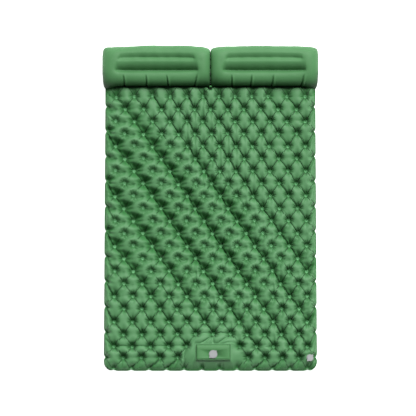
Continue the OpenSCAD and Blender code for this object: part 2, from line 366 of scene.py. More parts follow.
def welds():
    """Every weld as (row, half column, x, y, z, on the edge, pull)."""
    rng = np.random.default_rng(3)
    found = []
    for row in range(1, ROWS + 1):
        y = ROW_ONE_Y - ROW_PITCH * (row - 1)
        for half in range(row % 2, 2 * COLUMNS + 1, 2):
            if half in PUMP_GAPS.get(row, ()):
                continue
            x = -SEAM_X + HALF_COLUMN * half
            edge = half in (0, 2 * COLUMNS) or row == ROWS
            if edge:
                found.append((row, half, x, y, SEAM_Z, True, 0.5))
                continue
            px = x + drift(x, y) + rng.normal(0, 2.0)
            py = y - sag(y) + rng.normal(0, 1.5)
            band = slanting_band(px / SEAM_X, row)
            deep = (half - row) // 2 % 2 == 0
            low_left = eased((row - 13) / 5) * (1 - band)
            pull = 1 - band * (DEEP_PULL if deep else SHALLOW_PULL) + 0.25 * low_left + rng.normal(0, 0.05)
            z = WELD_HEIGHT - band * (DEEP_DROP if deep else -SHALLOW_RISE) + rng.normal(0, 1.0)
            found.append((row, half, px, py, z, False, pull))
    return found


def trench(slant, t, row):
    """Depth of the slanting trenches. slant is half columns less rows."""
    step = (np.sin(2 * pi * row) - np.sin(4 * pi * row) / 2) / pi
    off = (slant - TRENCH_SHIFT + 2 + TRENCH_STEPS * step) % 4 - 2
    width = np.where(off > 0, TRENCH_STEEP, TRENCH_GENTLE)
    return slanting_band(t, row) * TRENCH_DEPTH * bell(off, width)


def between_blocks(slant, t, row):
    """Depth of the valleys between the blocks along a slanting line."""
    across = slant % 4
    line = row + VALLEY_TILT * (across - 1.6)
    off = line - np.floor(line) - 0.5
    shape = VALLEY_DEPTH * bell(off, np.where(off > 0, 0.12, 0.3)) + VALLEY_CREASE * bell(off, 0.05)
    reach = eased((across - 0.1) / 0.5) * eased((3.3 - across) / 0.8)
    return slanting_band(t, row) * shape * reach


def pit_floor(row, half, x, z, pull):
    """Height of the top sheet at a weld, once its pit, trench and creases are in."""
    pit = pull * PIT_DEPTH * (1 - WELD_RADIUS / PIT_REACH) ** 2
    return z - pit - 2 * CREASE_DEPTH - float(trench(half - row, x / SEAM_X, row))


def mat_sheet(levels, upper):
    """The relaxed top or bottom sheet as (3, ny, nx), and its flat places."""
    rng = np.random.default_rng(7 if upper else 8)
    side = 1 if upper else -1
    x = old = None
    for cells, ahead in levels:
        lines = mat_lines(cells, ahead)
        flat_x, flat_y = rounded_grid(*lines, MAT_CORNER, MAT_HEAD_CORNER)
        ny, nx = flat_x.shape
        if x is None:
            inset = np.minimum(SEAM_X - np.abs(flat_x), np.minimum(flat_y - FOOT_Y, HEAD_Y - flat_y))
            fade = eased(inset / 120)
            moved = flat_x + drift(flat_x, flat_y) * fade, flat_y - sag(flat_y) * fade
            x = np.stack([*moved, SEAM_Z + side * 30 * np.clip(inset / 40, 0, 1)]).astype(np.float32)
        else:
            x = resample(x, old, lines)
        old = lines
        x[2] += rng.normal(0, 0.6, x[2].shape).astype(np.float32)
        held = outline((ny, nx))
        x[0][held], x[1][held], x[2][held] = flat_x[held], flat_y[held], SEAM_Z
        for row, half, wx, wy, wz, edge, pull in welds():
            i, j = (ROWS - row) * cells, half * cells
            part = np.s_[max(i - 4, 0) : i + 5, max(j - 4, 0) : j + 5]
            dx, dy = flat_x[part] - flat_x[i, j], flat_y[part] - flat_y[i, j]
            near = (np.hypot(dx, dy) <= WELD_RADIUS * 1.12) & ~held[part]
            depth = wz if upper else pit_floor(row, half, wx, wz, pull) - PIT_FLOOR_GAP
            for axis, value in enumerate((wx + dx, wy + dy, depth + 0 * dx)):
                x[axis][part][near] = value[near]
            held[part] |= near
        if upper:
            hold_openings(x, held, flat_x, flat_y)
        limits = () if upper else ((2, 0.0, None),)
        x = relax(x, cut_out(flat_x, flat_y), held, side * PRESSURE, STEPS, PUSHED, limits)
    return notched(stood_up(x, flat_y), flat_x, flat_y), flat_x, flat_y


def stood_up(x, flat_y):
    """Swells the strip in front of the head seam up against the pillows."""
    first = np.searchsorted(flat_y[:, 0], ROW_ONE_Y - 1e-3)
    t = np.clip((HEAD_Y - flat_y[first:]) / (HEAD_Y - ROW_ONE_Y), 0, 1)
    turn = t * pi / 2
    # The strip keeps clear of the tab between the pillows
    overhang = HEAD_OVERHANG * (1 - 0.95 * np.exp(-((x[0, first] / 15) ** 4)))
    reach = HEAD_Y + overhang - x[1, first]
    x[2, first:] = SEAM_Z + (x[2, first] - SEAM_Z) * np.sin(turn) ** 0.5
    x[1, first:] = x[1, first] + reach * np.cos(turn) ** 0.6 - overhang * (1 - t) ** 8
    x[1, -1] = HEAD_Y
    return x


def notched(x, flat_x, flat_y):
    """Draws the sheet's edges in at the half welds of the even rows and of the foot."""
    side, foot = np.zeros((2, *flat_x.shape))
    side_depth, side_width, side_reach = SIDE_NOTCH
    foot_depth, foot_width, foot_reach = FOOT_NOTCH
    to_side, to_foot = SEAM_X - np.abs(flat_x), flat_y - FOOT_Y
    for row, half, wx, wy, wz, edge, pull in welds():
        if edge and row < ROWS:
            reach = eased(1 - to_side / side_reach) * (flat_x * wx > 0)
            side = np.maximum(side, bell(flat_y - wy, side_width) * reach)
        elif edge:
            foot = np.maximum(foot, bell(flat_x - wx, foot_width) * eased(1 - to_foot / foot_reach))
    x[0] -= np.sign(flat_x) * side * side_depth
    x[1] += foot * foot_depth
    x[2] -= (x[2] - SEAM_Z) * np.clip((side + foot) * 0.75, 0, 0.9)
    return x


def pits(x):
    """Depth of the pits, pinched rays and rims around the welds."""
    rng = np.random.default_rng(5)
    cells = (x.shape[2] - 1) // (2 * COLUMNS)
    span = ceil(PIT_REACH / HALF_COLUMN * cells) + cells // 2
    drop = np.zeros(x.shape[1:])
    for row, half, wx, wy, wz, edge, pull in welds():
        i, j = (ROWS - row) * cells, half * cells
        part = np.s_[max(i - span, 0) : i + span + 1, max(j - span, 0) : j + span + 1]
        dx, dy = x[0][part] - wx, x[1][part] - wy
        r, angle = np.hypot(dx, dy), np.arctan2(dy, dx)
        near = np.clip(1 - np.maximum(np.hypot(dx * 0.95, dy * 1.15), WELD_RADIUS) / PIT_REACH, 0, 1)
        rays = rng.integers(8, 12)
        phase = rng.uniform(0, 2 * pi)
        wobble = 0.5 * np.sin(2 * angle + rng.uniform(0, 6)) + 0.02 * r
        ray = np.abs(np.sin(rays * angle / 2 + phase + wobble))
        strength = 1 + 0.4 * np.sin(3 * angle + rng.uniform(0, 6))
        pinch = eased((r - 7) / 7) * eased((38 - r) / 24) * strength * (1 - ray) ** 1.3
        rim = bell(r - WELD_RADIUS - 4, 2.5)
        drop[part] += pull * (PIT_DEPTH * near**2 + RAY_DEPTH * pinch) + 2 * rim
    return drop


def creases(x):
    """Depth of the creases from each weld to the two below it, of trenches and of valleys."""
    rows, columns = x.shape[1:]
    cells = (columns - 1) // (2 * COLUMNS)
    u = np.arange(columns) / cells
    v = (np.arange(rows) / cells)[:, None]
    place = u - (ROWS - v), x[0] / SEAM_X, ROWS - v
    band = slanting_band(*place[1:])
    drop = trench(*place) + between_blocks(*place)
    for step in (1, -1):
        line = (u - step * v - ROWS) / 2  # whole numbers are the lattice lines
        depth = CREASE_DEPTH * (1 - 0.45 * np.sin(pi * v) ** 2)
        # Lines of shallow welds have no creases, and the lines across them only faint ones
        shallow = eased(1.6 - np.abs(place[0] % 4 - 2)) if step == -1 else 0.6
        drop += depth * (1 - band * shallow) * bell(line - np.round(line), CREASE_HALF_WIDTH)
    return drop


def pump_folds(x):
    """Depth of the folds from the foot seam to the pump, and of one above its middle."""
    off, up = x[0] - PUMP_X, x[1] - PUMP_Y
    fold = bell(off, FOLD_WIDTH) * eased((up - FLANGE_D / 2) / 10) * eased((52 - up + FLANGE_D / 2) / 26)
    for at in (-PUMP_FOLDS, PUMP_FOLDS):
        fold += bell(off - at, FOLD_WIDTH) * eased((-up - FLANGE_D / 2) / 8)
    return FOLD_DEPTH * fold


def pitted(x, flat_x, flat_y):
    """Presses pits, creases and folds into the sheet."""
    inset = np.minimum(SEAM_X - np.abs(flat_x), flat_y - FOOT_Y)
    from_pump = pump_distance(x[0], x[1])
    clear = eased((inset - 4) / 26) * eased((HEAD_Y - flat_y) / 10) * eased((from_pump - 3) / 30)
    clear *= eased((valve_distance(x[0], x[1]) - PATCH_RADIUS - 3) / 15)
    drop = pits(x) + eased((from_pump - 36) / 20) * creases(x)
    x[2] -= drop * clear + pump_folds(x)
    return x


def pump_distance(x, y):
    """How far a place is outside the pump's flange."""
    dx = np.abs(x - PUMP_X) - FLANGE_W / 2
    dy = np.abs(y - PUMP_Y) - FLANGE_D / 2
    return np.hypot(np.maximum(dx, 0), np.maximum(dy, 0))


def valve_distance(x, y):
    return np.hypot(x - VALVE_AT[0], y - VALVE_AT[1])


def in_pump(x, y, margin):
    across = np.abs(x - PUMP_X) <= FLANGE_W / 2 + margin
    return across & (np.abs(y - PUMP_Y) <= FLANGE_D / 2 + margin)


def hold_openings(x, held, flat_x, flat_y):
    """Holds the sheet flat under the pump's flange and under the air valve's patch."""
    inside = ~outline(held.shape)
    pump = in_pump(flat_x, flat_y, 2) & inside
    valve = (valve_distance(flat_x, flat_y) <= PATCH_RADIUS + 1) & inside
    slope = VALVE_AXIS[0] / VALVE_AXIS[2]
    over_flange = np.full_like(flat_x, MAT_TOP + OVER_FLANGE)
    under_patch = VALVE_AT[2] - UNDER_PATCH - (flat_x - VALVE_AT[0]) * slope
    for place, height in ((pump, over_flange), (valve, under_patch)):
        x[:, place] = np.stack([flat_x, flat_y, height])[:, place]
        held |= place


def lip_points(seam, lift):
    """Rows of points of the welded lip, from the seam outwards and then down."""
    run = np.roll(seam, -1, 0) - np.roll(seam, 1, 0)
    out = np.stack([run[:, 1], -run[:, 0]], 1)
    out /= np.linalg.norm(out, axis=1)[:, None] + 1e-9
    rows = []
    for share, height in ((0.35, lift), (0.8, lift), (1.0, lift * 0.5), (1.0, 0)):
        p = seam.copy()
        p[:, :2] += out * LIP * share
        p[:, 2] = SEAM_Z + height
        rows.append(p)
    return rows


def sheet_piece(name, x, upper, keep=None, lattice=True):
    """The sheet with its lip as one mesh, of the cells to keep. lattice sheets know their welds."""
    ny, nx = x.shape[1:]
    points = x.reshape(3, -1).T.astype(float)
    inner = perimeter(ny, nx)
    rows = lip_points(points[inner], 1.0 if upper else -1.0)
    bands = []
    for row in range(len(rows)):
        outer = len(points) + row * len(inner) + np.arange(len(inner))
        bands.append(np.stack([inner, outer, np.roll(outer, -1), np.roll(inner, -1)], 1))
        inner = outer
    bands = np.concatenate(bands) if upper else np.concatenate(bands)[:, ::-1]
    if lattice:
        bands = np.concatenate([bands[:, :3], bands[:, [0, 2, 3]]])
        sheet, *blocks = lattice_triangles(ny, nx, keep)
    else:
        sheet = np.stack(cell_corners(np.arange(ny * nx).reshape(ny, nx)), -1).reshape(-1, 4)
    faces = np.concatenate([sheet if upper else sheet[:, ::-1], bands])
    points, faces = drop_unused(np.concatenate([points, *rows]), faces)
    obj = mesh_piece(name, points, faces)
    if lattice:
        outside = np.full(len(bands), -9)
        store_welds(obj, faces, *[np.concatenate([block, outside]) for block in blocks])
    return obj


def lattice_triangles(ny, nx, keep):
    """Triangles of the grid, split along the lines between welds, and the blocks they are in."""
    cells = (nx - 1) // (2 * COLUMNS)
    a, b, c, d = cell_corners(np.arange(ny * nx).reshape(ny, nx))
    block_x = np.arange(nx - 1) // cells
    block_y = (np.arange(ny - 1) // cells)[:, None]
    rising = ((block_x + block_y) % 2 == ROWS % 2)[..., None]
    first = np.where(rising, np.stack([a, b, c], -1), np.stack([a, b, d], -1))
    second = np.where(rising, np.stack([a, c, d], -1), np.stack([b, c, d], -1))
    keep = np.ones(a.shape, bool) if keep is None else keep
    blocks = [np.tile(np.broadcast_to(block, a.shape)[keep], 2) for block in (block_x, block_y)]
    return np.concatenate([first[keep], second[keep]]), *blocks


def store_welds(obj, faces, block_x, block_y):
    """Stores at every face corner its place from the nearest weld and the weld's number."""
    centres = np.full((ROWS + 2, 2 * COLUMNS + 2, 2), 1e6)
    for row, half, wx, wy, *_ in welds():
        centres[row, half] = wx, wy
    points = np.empty(len(obj.data.vertices) * 3)
    obj.data.vertices.foreach_get("co", points)
    points = points.reshape(-1, 3)[:, :2] / MM
    out = np.full((len(faces), 3, 3), 99.0)
    best = np.full(len(faces), 1e9)
    middle = points[faces].mean(1)
    for side_x, side_y in ((0, 0), (1, 0), (0, 1), (1, 1)):
        half, row = block_x + side_x, ROWS - block_y - side_y
        centre = centres[np.clip(row, 0, ROWS + 1), np.clip(half, 0, 2 * COLUMNS + 1)]
        far = np.hypot(*(middle - centre).T)
        closer = (far < best) & (far < 2 * HALF_COLUMN)
        best[closer] = far[closer]
        out[closer, :, :2] = (points[faces] - centre[:, None])[closer]
        calm = ((half - row) % 4 == 2) & (slanting_band(half / COLUMNS - 1, row) > 0.5)
        out[closer, :, 2] = ((row * 31 + half) * 0.37 + CALM_NUMBERS * calm)[closer, None]
    out[pump_distance(*middle.T) < 40] = 99
    layer = obj.data.attributes.new("weld", "FLOAT_VECTOR", "CORNER")
    layer.data.foreach_set("vector", out.ravel())


def make_mattress():
    x, flat_x, flat_y = mat_sheet(LEVELS, True)
    middle = [sum(cell_corners(a)) / 4 for a in (flat_x, flat_y)]
    keep = ~in_pump(*middle, -5) & (valve_distance(*middle) > PATCH_RADIUS - 5)
    top = sheet_piece("mattress_top_sheet", pitted(x, flat_x, flat_y), True, keep)
    return top, sheet_piece("mattress_bottom_sheet", mat_sheet(LEVELS[:2], False)[0], False)


# ---- pillows

PILLOW_TOP = float(box_mm("left_pillow_top_panel")[1][2])
PILLOW_CELL, PILLOW_COARSE = 3.8, 8.4
PILLOW_CORNER = 6.0
FRONT_SET_BACK = 18.0  # from the front of the CAD pillow to the front seam
INNER_GAP, LIP_GAP = 0.1, 0.04  # from the pad's middle
PILLOW_SLACK = 1.03
PILLOW_PRESSURE, PILLOW_STEPS, PILLOW_PUSHED = 0.002, 300, 0.35
FRONT_MITRE, REAR_MITRE = 2.0, 5.0
# How far in from its edge each side of a pillow reaches its full height
FRONT_REACH, REAR_REACH, OUTER_REACH, INNER_REACH = 66.0, 45.0, 62.0, 40.0
FRONT_BULGE = 0.8  # below 1 the front wall is flatter than a quarter round
# Grooves over the tension strips: depth, and the reach of their rear and front slopes
GROOVES = {"front": (24.0, 46.0, 12.0), "rear": (11.0, 24.0, 10.0)}
GROOVE_PRESS = 0.8
STRIP_THICKNESS, STRIP_HEIGHTS = 1.2, {"front": 96.0, "rear": 122.0}
TUCK_DEPTH, TUCK_HALF_WIDTH = 14.0, 4.0
# Tucks over the front of each pillow, as shares of its width from the left, and their lean
TUCKS = {"left": (0.19, 0.4, 0.6, 0.86), "right": (0.2, 0.38, 0.58, 0.86)}
TUCK_LEAN = {"left": (0.25, 0.15, 0.35, -0.4), "right": (0.1, -0.15, -0.3, -0.5)}


def domed_lines(low, high, reaches, overhangs, bulges, rise, cell):
    """Grid lines of a skin that climbs from both edges: place, share of full height."""

    def climb(reach, overhang, bulge):
        count = max(int(round(1.25 * hypot(reach, rise) / cell)), 6)
        turn = np.linspace(0, pi / 2, count + 1)
        place = reach * (1 - np.cos(turn) ** (1 / bulge)) - overhang * np.sin(2 * turn)
        return place, np.sin(turn) ** (1 / bulge)

    (near, near_share), (far, far_share) = map(climb, reaches, overhangs, bulges)
    flat = high - low - sum(reaches)
    middle = np.linspace(0, flat, int(round(flat / cell)) + 1)[1:-1]
    place = np.concatenate([low + near, low + reaches[0] + middle, (high - far)[::-1]])
    return place, np.concatenate([near_share, np.ones(len(middle)), far_share[::-1]])


def groove_shape(side, x, y):
    """How far the two tension strips draw the top panel down at every place."""
    drop = np.zeros(np.broadcast(x, y).shape)
    for kind, (depth, behind, ahead) in GROOVES.items():
        low, high = box_mm(f"{side}_pillow_{kind}_baffle")
        middle, half = (low + high) / 2, (high - low) / 2
        share = 1 - np.clip(np.abs(x - middle[0]) / half[0], 0, 1) ** 10
        along = y - middle[1]
        along = np.where(along > 0, along / behind, -along / ahead)
        drop += depth * np.sqrt(share) * (1 - np.clip(along, 0, 1)) ** 1.2
    return drop


def pillow_seam(side):
    """Where a pillow's seam runs: left, right, front and rear."""
    low, high = box_mm(f"{side}_pillow_top_panel")
    inner = LIP + LIP_GAP
    left, right = (float(low[0]) + LIP, -inner) if side == "left" else (inner, float(high[0]) - LIP)
    return left, right, float(low[1]) + FRONT_SET_BACK, float(high[1]) - LIP


def pillow_cut(side, upper, rise, cell):
    """A panel before it is blown up: grid lines, places, shares of full height, and grooves."""
    left, right, front, rear = pillow_seam(side)
    across = (OUTER_REACH, INNER_REACH), (4.0, LIP + LIP_GAP + 1), (1.1, 1.1)
    if side == "right":
        across = [pair[::-1] for pair in across]
    along = (FRONT_REACH, REAR_REACH), (0.0, 3.0), (FRONT_BULGE, 1.2)
    gx, share_x = domed_lines(left, right, *across, rise, cell)
    gy, share_y = domed_lines(front, rear, *along, rise, cell)
    x, y = rounded_grid(gx, gy, PILLOW_CORNER, PILLOW_CORNER)
    back = eased((y - front) / (rear - front))
    y = y + rear_wave(side, x) * back - front_pull(x) * (1 - back) ** 4
    # A soft minimum of the two climbs gives mitred corners
    mitre = FRONT_MITRE + (REAR_MITRE - FRONT_MITRE) * (gy > (front + rear) / 2)[:, None]
    steep = [np.maximum(climb, 1e-3) ** -mitre for climb in (share_x[None], share_y[:, None])]
    share = (steep[0] + steep[1] - 1) ** (-1 / mitre)
    share[outline(share.shape)] = 0
    groove = groove_shape(side, x, y) * (1 if upper else 0.3)
    z = SEAM_Z + (1 if upper else -1) * (rise * share - groove * share)
    return (gx, gy), (x, y, z), share_y, share, groove


def pillow_limits(side, upper, lines, places, wall_z):
    """Where a panel stops: at the other pillow, the mattress, the tension strips and the seam."""
    (gx, gy), (x, y, z) = lines, places
    # The inner walls press on each other along a crinkled line
    crinkle = INNER_GAP + 3.5 * np.clip(np.sin(y / 5.5 + 2 * np.sin(y / 31)), 0, 1) ** 3
    crinkle = crinkle.astype(np.float32)
    wall = (0, None, -crinkle) if side == "left" else (0, crinkle, None)
    # The front wall leans on the mattress up to its top, and a little over it above that
    front = pillow_seam(side)[2]
    lean = np.where(wall_z < MAT_TOP - 4, front - 4, front - 12)[:, None]
    stop = (lean - front_pull(x)).astype(np.float32)
    floor = np.full(z.shape, SEAM_Z if upper else 0.0, np.float32)
    ceiling = np.full(z.shape, PILLOW_TOP + 12 if upper else SEAM_Z, np.float32)
    for kind in GROOVES:
        low, high = box_mm(f"{side}_pillow_{kind}_baffle")
        row = int(np.argmin(np.abs(gy - (low[1] + high[1]) / 2)))
        along = (gx > low[0]) & (gx < high[0])
        (ceiling if upper else floor)[row, along] = z[row, along]
    return wall, (1, stop, None), (2, floor, ceiling)


def pillow_panel(side, upper, cell):
    """A relaxed panel of a pillow as (3, ny, nx), and its height shares from front to back."""
    rise, push = (PILLOW_TOP - SEAM_Z, PILLOW_PRESSURE) if upper else (SEAM_Z, -PILLOW_PRESSURE)
    rng = np.random.default_rng(11 if side == "left" else 12)
    x = old = None
    for step in (2 * cell, cell) if upper else (cell,):
        lines, places, share_y, share, groove = pillow_cut(side, upper, rise, step)
        dome = np.stack(places).astype(np.float32)
        new = [np.arange(len(line)) / (len(line) - 1) for line in lines]
        x = dome.copy() if x is None else resample(x, old, new)
        old = new
        x[2] += rng.normal(0, 0.5, x[2].shape).astype(np.float32)
        held = outline(share.shape)
        x[:, held] = dome[:, held]
        limits = pillow_limits(side, upper, lines, places, SEAM_Z + rise * share_y)
        rest = dome * np.float32(PILLOW_SLACK)
        x = relax(x, rest, held, push, PILLOW_STEPS, PILLOW_PUSHED, limits)
    if upper:
        x[2] = SEAM_Z + (x[2] - SEAM_Z) * min(rise / (x[2].max() - SEAM_Z), 1.0)
        x[2] -= GROOVE_PRESS * groove * share**4
    return x, share_y


def front_pull(x):
    """How far a pillow's front seam comes forward at its ends, with an ear at the outer one."""
    out = np.abs(x)
    ear = 12 * eased((out - SEAM_X - LIP) / 6)
    return 12 * eased((out - 0.88 * SEAM_X) / 50) + 9 * eased((32 - out) / 22) + ear


def rear_wave(side, x):
    """How the rear seam of a pillow strays from a straight line."""
    if side == "left":
        t = (x + SEAM_X + LIP) / (SEAM_X + LIP)
        wave = -11 + 6 * eased(t / 0.5) - 7 * eased((t - 0.93) / 0.07) + 8 * eased((0.07 - t) / 0.07)
        return wave + 1.5 * np.sin(19 * t) + 1.2 * np.sin(57 * t)
    t = x / (SEAM_X + LIP)
    wave = -7 - 4 * eased((0.08 - t) / 0.08) + 4 * eased((t - 0.93) / 0.07)
    return wave + 0.8 * np.sin(17 * t) + 1.0 * np.sin(49 * t)


def tucked(side, x, share_y):
    """Presses the tucks into the front wall of a pillow's top panel."""
    low, high = box_mm(f"{side}_pillow_top_panel")
    crest = int(np.argmax(share_y >= 1))
    up = np.zeros(len(share_y))
    up[: crest + 1] = np.linspace(0, 1, crest + 1)
    up[crest:] = 1
    fade = (eased(up / 0.2) * eased((1.0 - up) / 0.35))[:, None]
    drop = np.zeros(x.shape[1:])
    for place, lean in zip(TUCKS[side], TUCK_LEAN[side]):
        at = low[0] + place * (high[0] - low[0]) - lean * 60 * (up[:, None] - 0.5)
        off = x[0] - at
        drop += bell(off, TUCK_HALF_WIDTH) - 0.35 * bell(off - 9, 6)
    x[1] += 0.75 * TUCK_DEPTH * drop * fade
    x[2] -= 0.65 * TUCK_DEPTH * drop * fade
    return x


def make_baffle(side, kind, top, bottom):
    """The tension strip under a groove, from the bottom panel up to the top one."""
    low, high = box_mm(f"{side}_pillow_{kind}_baffle")
    middle = (low[1] + high[1]) / 2
    xs = np.linspace(low[0] + 4, high[0] - 4, 60)

    def height_at(panel):
        row = int(np.argmin(np.abs(panel[1][:, panel.shape[2] // 2] - middle)))
        order = np.argsort(panel[0][row])
        near = slice(max(row - 2, 0), row + 3)
        lowest = panel[2][near].min(0) if panel is top else panel[2][near].max(0)
        return np.interp(xs, panel[0][row][order], lowest[order])

    upper, lower = height_at(top) - STRIP_GAP, height_at(bottom) + STRIP_GAP
    loops = []
    for x, foot_z, head_z in zip(xs, lower, upper):
        foot, head = middle + 1.2 * sin(x / 23), middle + 0.4 * sin(x / 23)
        half = STRIP_THICKNESS / 2
        corners = (foot - half, foot_z), (head - half, head_z), (head + half, head_z), (foot + half, foot_z)
        loops.append([(x, y, z) for y, z in corners])
    strip = loft(f"{side}_pillow_{kind}_strip", loops, capped=True)
    return strip


def make_pillow(side):
    upper, share_y = pillow_panel(side, True, PILLOW_CELL)
    upper = tucked(side, upper, share_y)
    lower = pillow_panel(side, False, PILLOW_COARSE)[0]
    top = sheet_piece(f"{side}_pillow_top", upper, True, lattice=False)
    bottom = sheet_piece(f"{side}_pillow_bottom", lower, False, lattice=False)
    return top, bottom, {kind: make_baffle(side, kind, upper, lower) for kind in GROOVES}


def make_duct(side):
    """The air tube from the mattress into a pillow, a little flared at both ends."""
    low, high = box_mm(f"{side}_pillow_duct")
    cx, cz = (low[0] + high[0]) / 2, (low[2] + high[2]) / 2
    stations = np.linspace(0, 1, 13)
    turns = np.linspace(0, 2 * pi, 24, endpoint=False)
    loops = []
    for widest, run in ((7.0, stations), (5.8, stations[::-1])):
        for t in run:
            radius = widest - 0.7 * sin(pi * t) ** 2 + 0.12 * sin(40 * t)
            y = low[1] + (high[1] - low[1]) * t
            loops.append([(cx + radius * cos(a), y, cz + radius * sin(a)) for a in turns])
    return loft(f"{side}_air_tube", loops)


def make_tape():
    """The strip that joins the lips of the mattress and the pillows."""
    low, high = box_mm("head_seam_tape")
    front, back = low[1] + 1.8, low[1] + 20.5
    loops = []
    for x in np.linspace(low[0], high[0], 160):
        z = low[2] + 0.5 + 0.25 * sin(x / 17) + 0.2 * sin(x / 5.3)
        loops.append([(x, front, z), (x, back, z), (x, back, z + 1.0), (x, front, z + 1.0)])
    tape = loft("head_seam_strip", loops, capped=True)
    return tape


# The ribbon's run, from one foot over the top to the other: across, and up
TIE_PATH = [(-8.4, 0), (-8.0, 15), (-7.0, 30), (-7.4, 42), (-4, 49.5), (1, 51)]
TIE_PATH += [(5.5, 48), (7.6, 38), (6.4, 26), (7.6, 12), (8.4, 0)]
TIE_WIDTH, TIE_THICKNESS = 10.0, 1.0


def make_tie():
    """A loop of ribbon that stands up between the inner corners of the pillows."""
    low, high = box_mm("pillow_tie_tab")
    start = Vector(((low[0] + high[0]) / 2, low[2] + TIE_THICKNESS / 2 + 0.1))
    y = high[1] - 7
    path = [start + Vector(place) for place in TIE_PATH]
    loops = []
    for i, place in enumerate(path):
        run = path[min(i + 1, len(path) - 1)] - path[max(i - 1, 0)]
        out = Vector((-run.y, run.x)).normalized() * TIE_THICKNESS / 2
        corners = (place + out, -1), (place + out, 1), (place - out, 1), (place - out, -1)
        loops.append([(p.x, y + side * TIE_WIDTH / 2, p.y) for p, side in corners])
    tie = loft("pillow_tie_loop", loops, capped=True)
    return tie


# ---- foot pump

PANEL_LOW, PANEL_HIGH = box_mm("pump_foot_panel")
FOAM_LOW, FOAM_HIGH = box_mm("pump_foam")
GUSSET_LOW, GUSSET_HIGH = box_mm("pump_side_gusset")
PUMP_CORNER = 8.0
CORNER_STEPS = 8
# The panel's rim lies below its middle; the slope is widest on the head side
PANEL_RIM_DROP = 5.0
SLOPE_HEAD, SLOPE_OTHER = 22.0, 9.0
NECK_CLEAR, OUTLET_HOLE, FOAM_BORE = 18.6, 14.0, 24.0
FLANGE_RIM = 5.0
POCKET_CLOTH = 1.2
PANEL_CLOTH = 1.3
PANEL_TOP = float(PANEL_HIGH[2]) - 0.1
GUSSET_FOOT = float(POCKET_HIGH[2]) + 0.2
GUSSET_RIM = PANEL_TOP - PANEL_RIM_DROP
# The slack of the pocket's walls: share of their height, and how far they lean in
POCKET_WAIST = ((0.3, 0.6), (0.6, 0.9), (0.85, 0.5))


def pump_loop(width, depth, radius, z, shift=0.0):
    """Points of a rounded rectangle about the pump's middle, anticlockwise."""
    points = []
    for quarter, (sx, sy) in enumerate(((1, 1), (-1, 1), (-1, -1), (1, -1))):
        x = PUMP_X + sx * (width / 2 - radius)
        y = PUMP_Y + shift + sy * (depth / 2 - radius)
        start = quarter * pi / 2
        for a in np.linspace(start, start + pi / 2, CORNER_STEPS + 1):
            points.append((x + radius * cos(a), y + radius * sin(a), z))
    return points


def intake_ring(radius, z):
    """A circle about the intake, paired by angle with a pump loop's points."""
    turns = np.linspace(0, 2 * pi, 4 * (CORNER_STEPS + 1), endpoint=False) + pi / 9
    return [(INTAKE_X + radius * cos(a), INTAKE_Y + radius * sin(a), z) for a in turns]


def make_pocket():
    """Flange, walls and floor of the pocket as one skin, with the outlet's hole."""
    top, floor = float(POCKET_HIGH[2]), float(POCKET_LOW[2])
    waist = [(inset, floor + 2.5 + share * (top - floor - 6)) for share, inset in POCKET_WAIST]

    def flange(inset, z):
        return pump_loop(FLANGE_W - inset, FLANGE_D - inset, PUMP_CORNER + FLANGE_RIM, z)

    def wall(inset, z):
        inset += 2 * FLANGE_RIM
        return pump_loop(FLANGE_W - inset, FLANGE_D - inset, PUMP_CORNER, z)

    loops = [
        intake_ring(OUTLET_HOLE, floor),
        wall(4, floor),
        wall(0.4, floor + 2.5),
        *[wall(0.4 + inset, z) for inset, z in waist],
        wall(0, top - 2),
        flange(1, top - 1),
        flange(0, top - 0.5),
        flange(1.5, top),
        wall(1, top - 0.1),
        wall(2.8, top - 2.4),
        *[wall(2.8 + inset, z) for inset, z in waist[::-1]],
        wall(3, floor + 3.2),
        wall(7, floor + POCKET_CLOTH),
        intake_ring(OUTLET_HOLE, floor + POCKET_CLOTH),
    ]
    pocket = loft("pump_pocket_skin", loops)
    return pocket


def crowned_loops(low, high, top, radius, grow=0.0):
    """Loops from a rim up to a flat middle, sloping widest on the head side."""
    width, depth = (high - low)[:2] + grow
    loops = []
    for t in np.linspace(0, 1, 11):
        side, head = SLOPE_OTHER * t, SLOPE_HEAD * t
        w, d, shift = width - 2 * side, depth - side - head, (side - head) / 2
        drop = PANEL_RIM_DROP * (1 - t) ** 2
        loops.append(pump_loop(w, d, max(radius - 0.4 * side, 3), top - drop, shift))
    loops.append(pump_loop(w - 3, d - 3, 3, top, shift))
    return loops


def lowered(loops, depth):
    return [[(x, y, z - depth) for x, y, z in loop] for loop in loops]


def make_panel():
    """The foot panel: crowned fabric over the foam, open for the intake's neck."""
    upper = crowned_loops(PANEL_LOW, PANEL_HIGH, PANEL_TOP, PUMP_CORNER)
    upper.append(intake_ring(NECK_CLEAR, PANEL_TOP))
    panel = loft("pump_foot_panel_cover", upper + lowered(upper, PANEL_CLOTH)[::-1])
    return panel


def make_gusset():
    """The fabric side wall between the pocket's rim and the foot panel."""
    base_w, base_d = (GUSSET_HIGH - GUSSET_LOW)[:2]
    head_w, head_d = (PANEL_HIGH - PANEL_LOW)[:2]
    shares = np.linspace(0, 1, 9)
    loops = []
    for thickness, run in ((0, shares), (2.4, shares[::-1])):
        for t in run:
            swell = 2.2 * sin(pi * t) - thickness
            w = base_w + (head_w - base_w) * t + swell
            d = base_d + (head_d - base_d) * t + swell
            loops.append(pump_loop(w, d, PUMP_CORNER, GUSSET_FOOT + (GUSSET_RIM - GUSSET_FOOT) * t))
    gusset = loft("pump_gusset", loops)
    return gusset


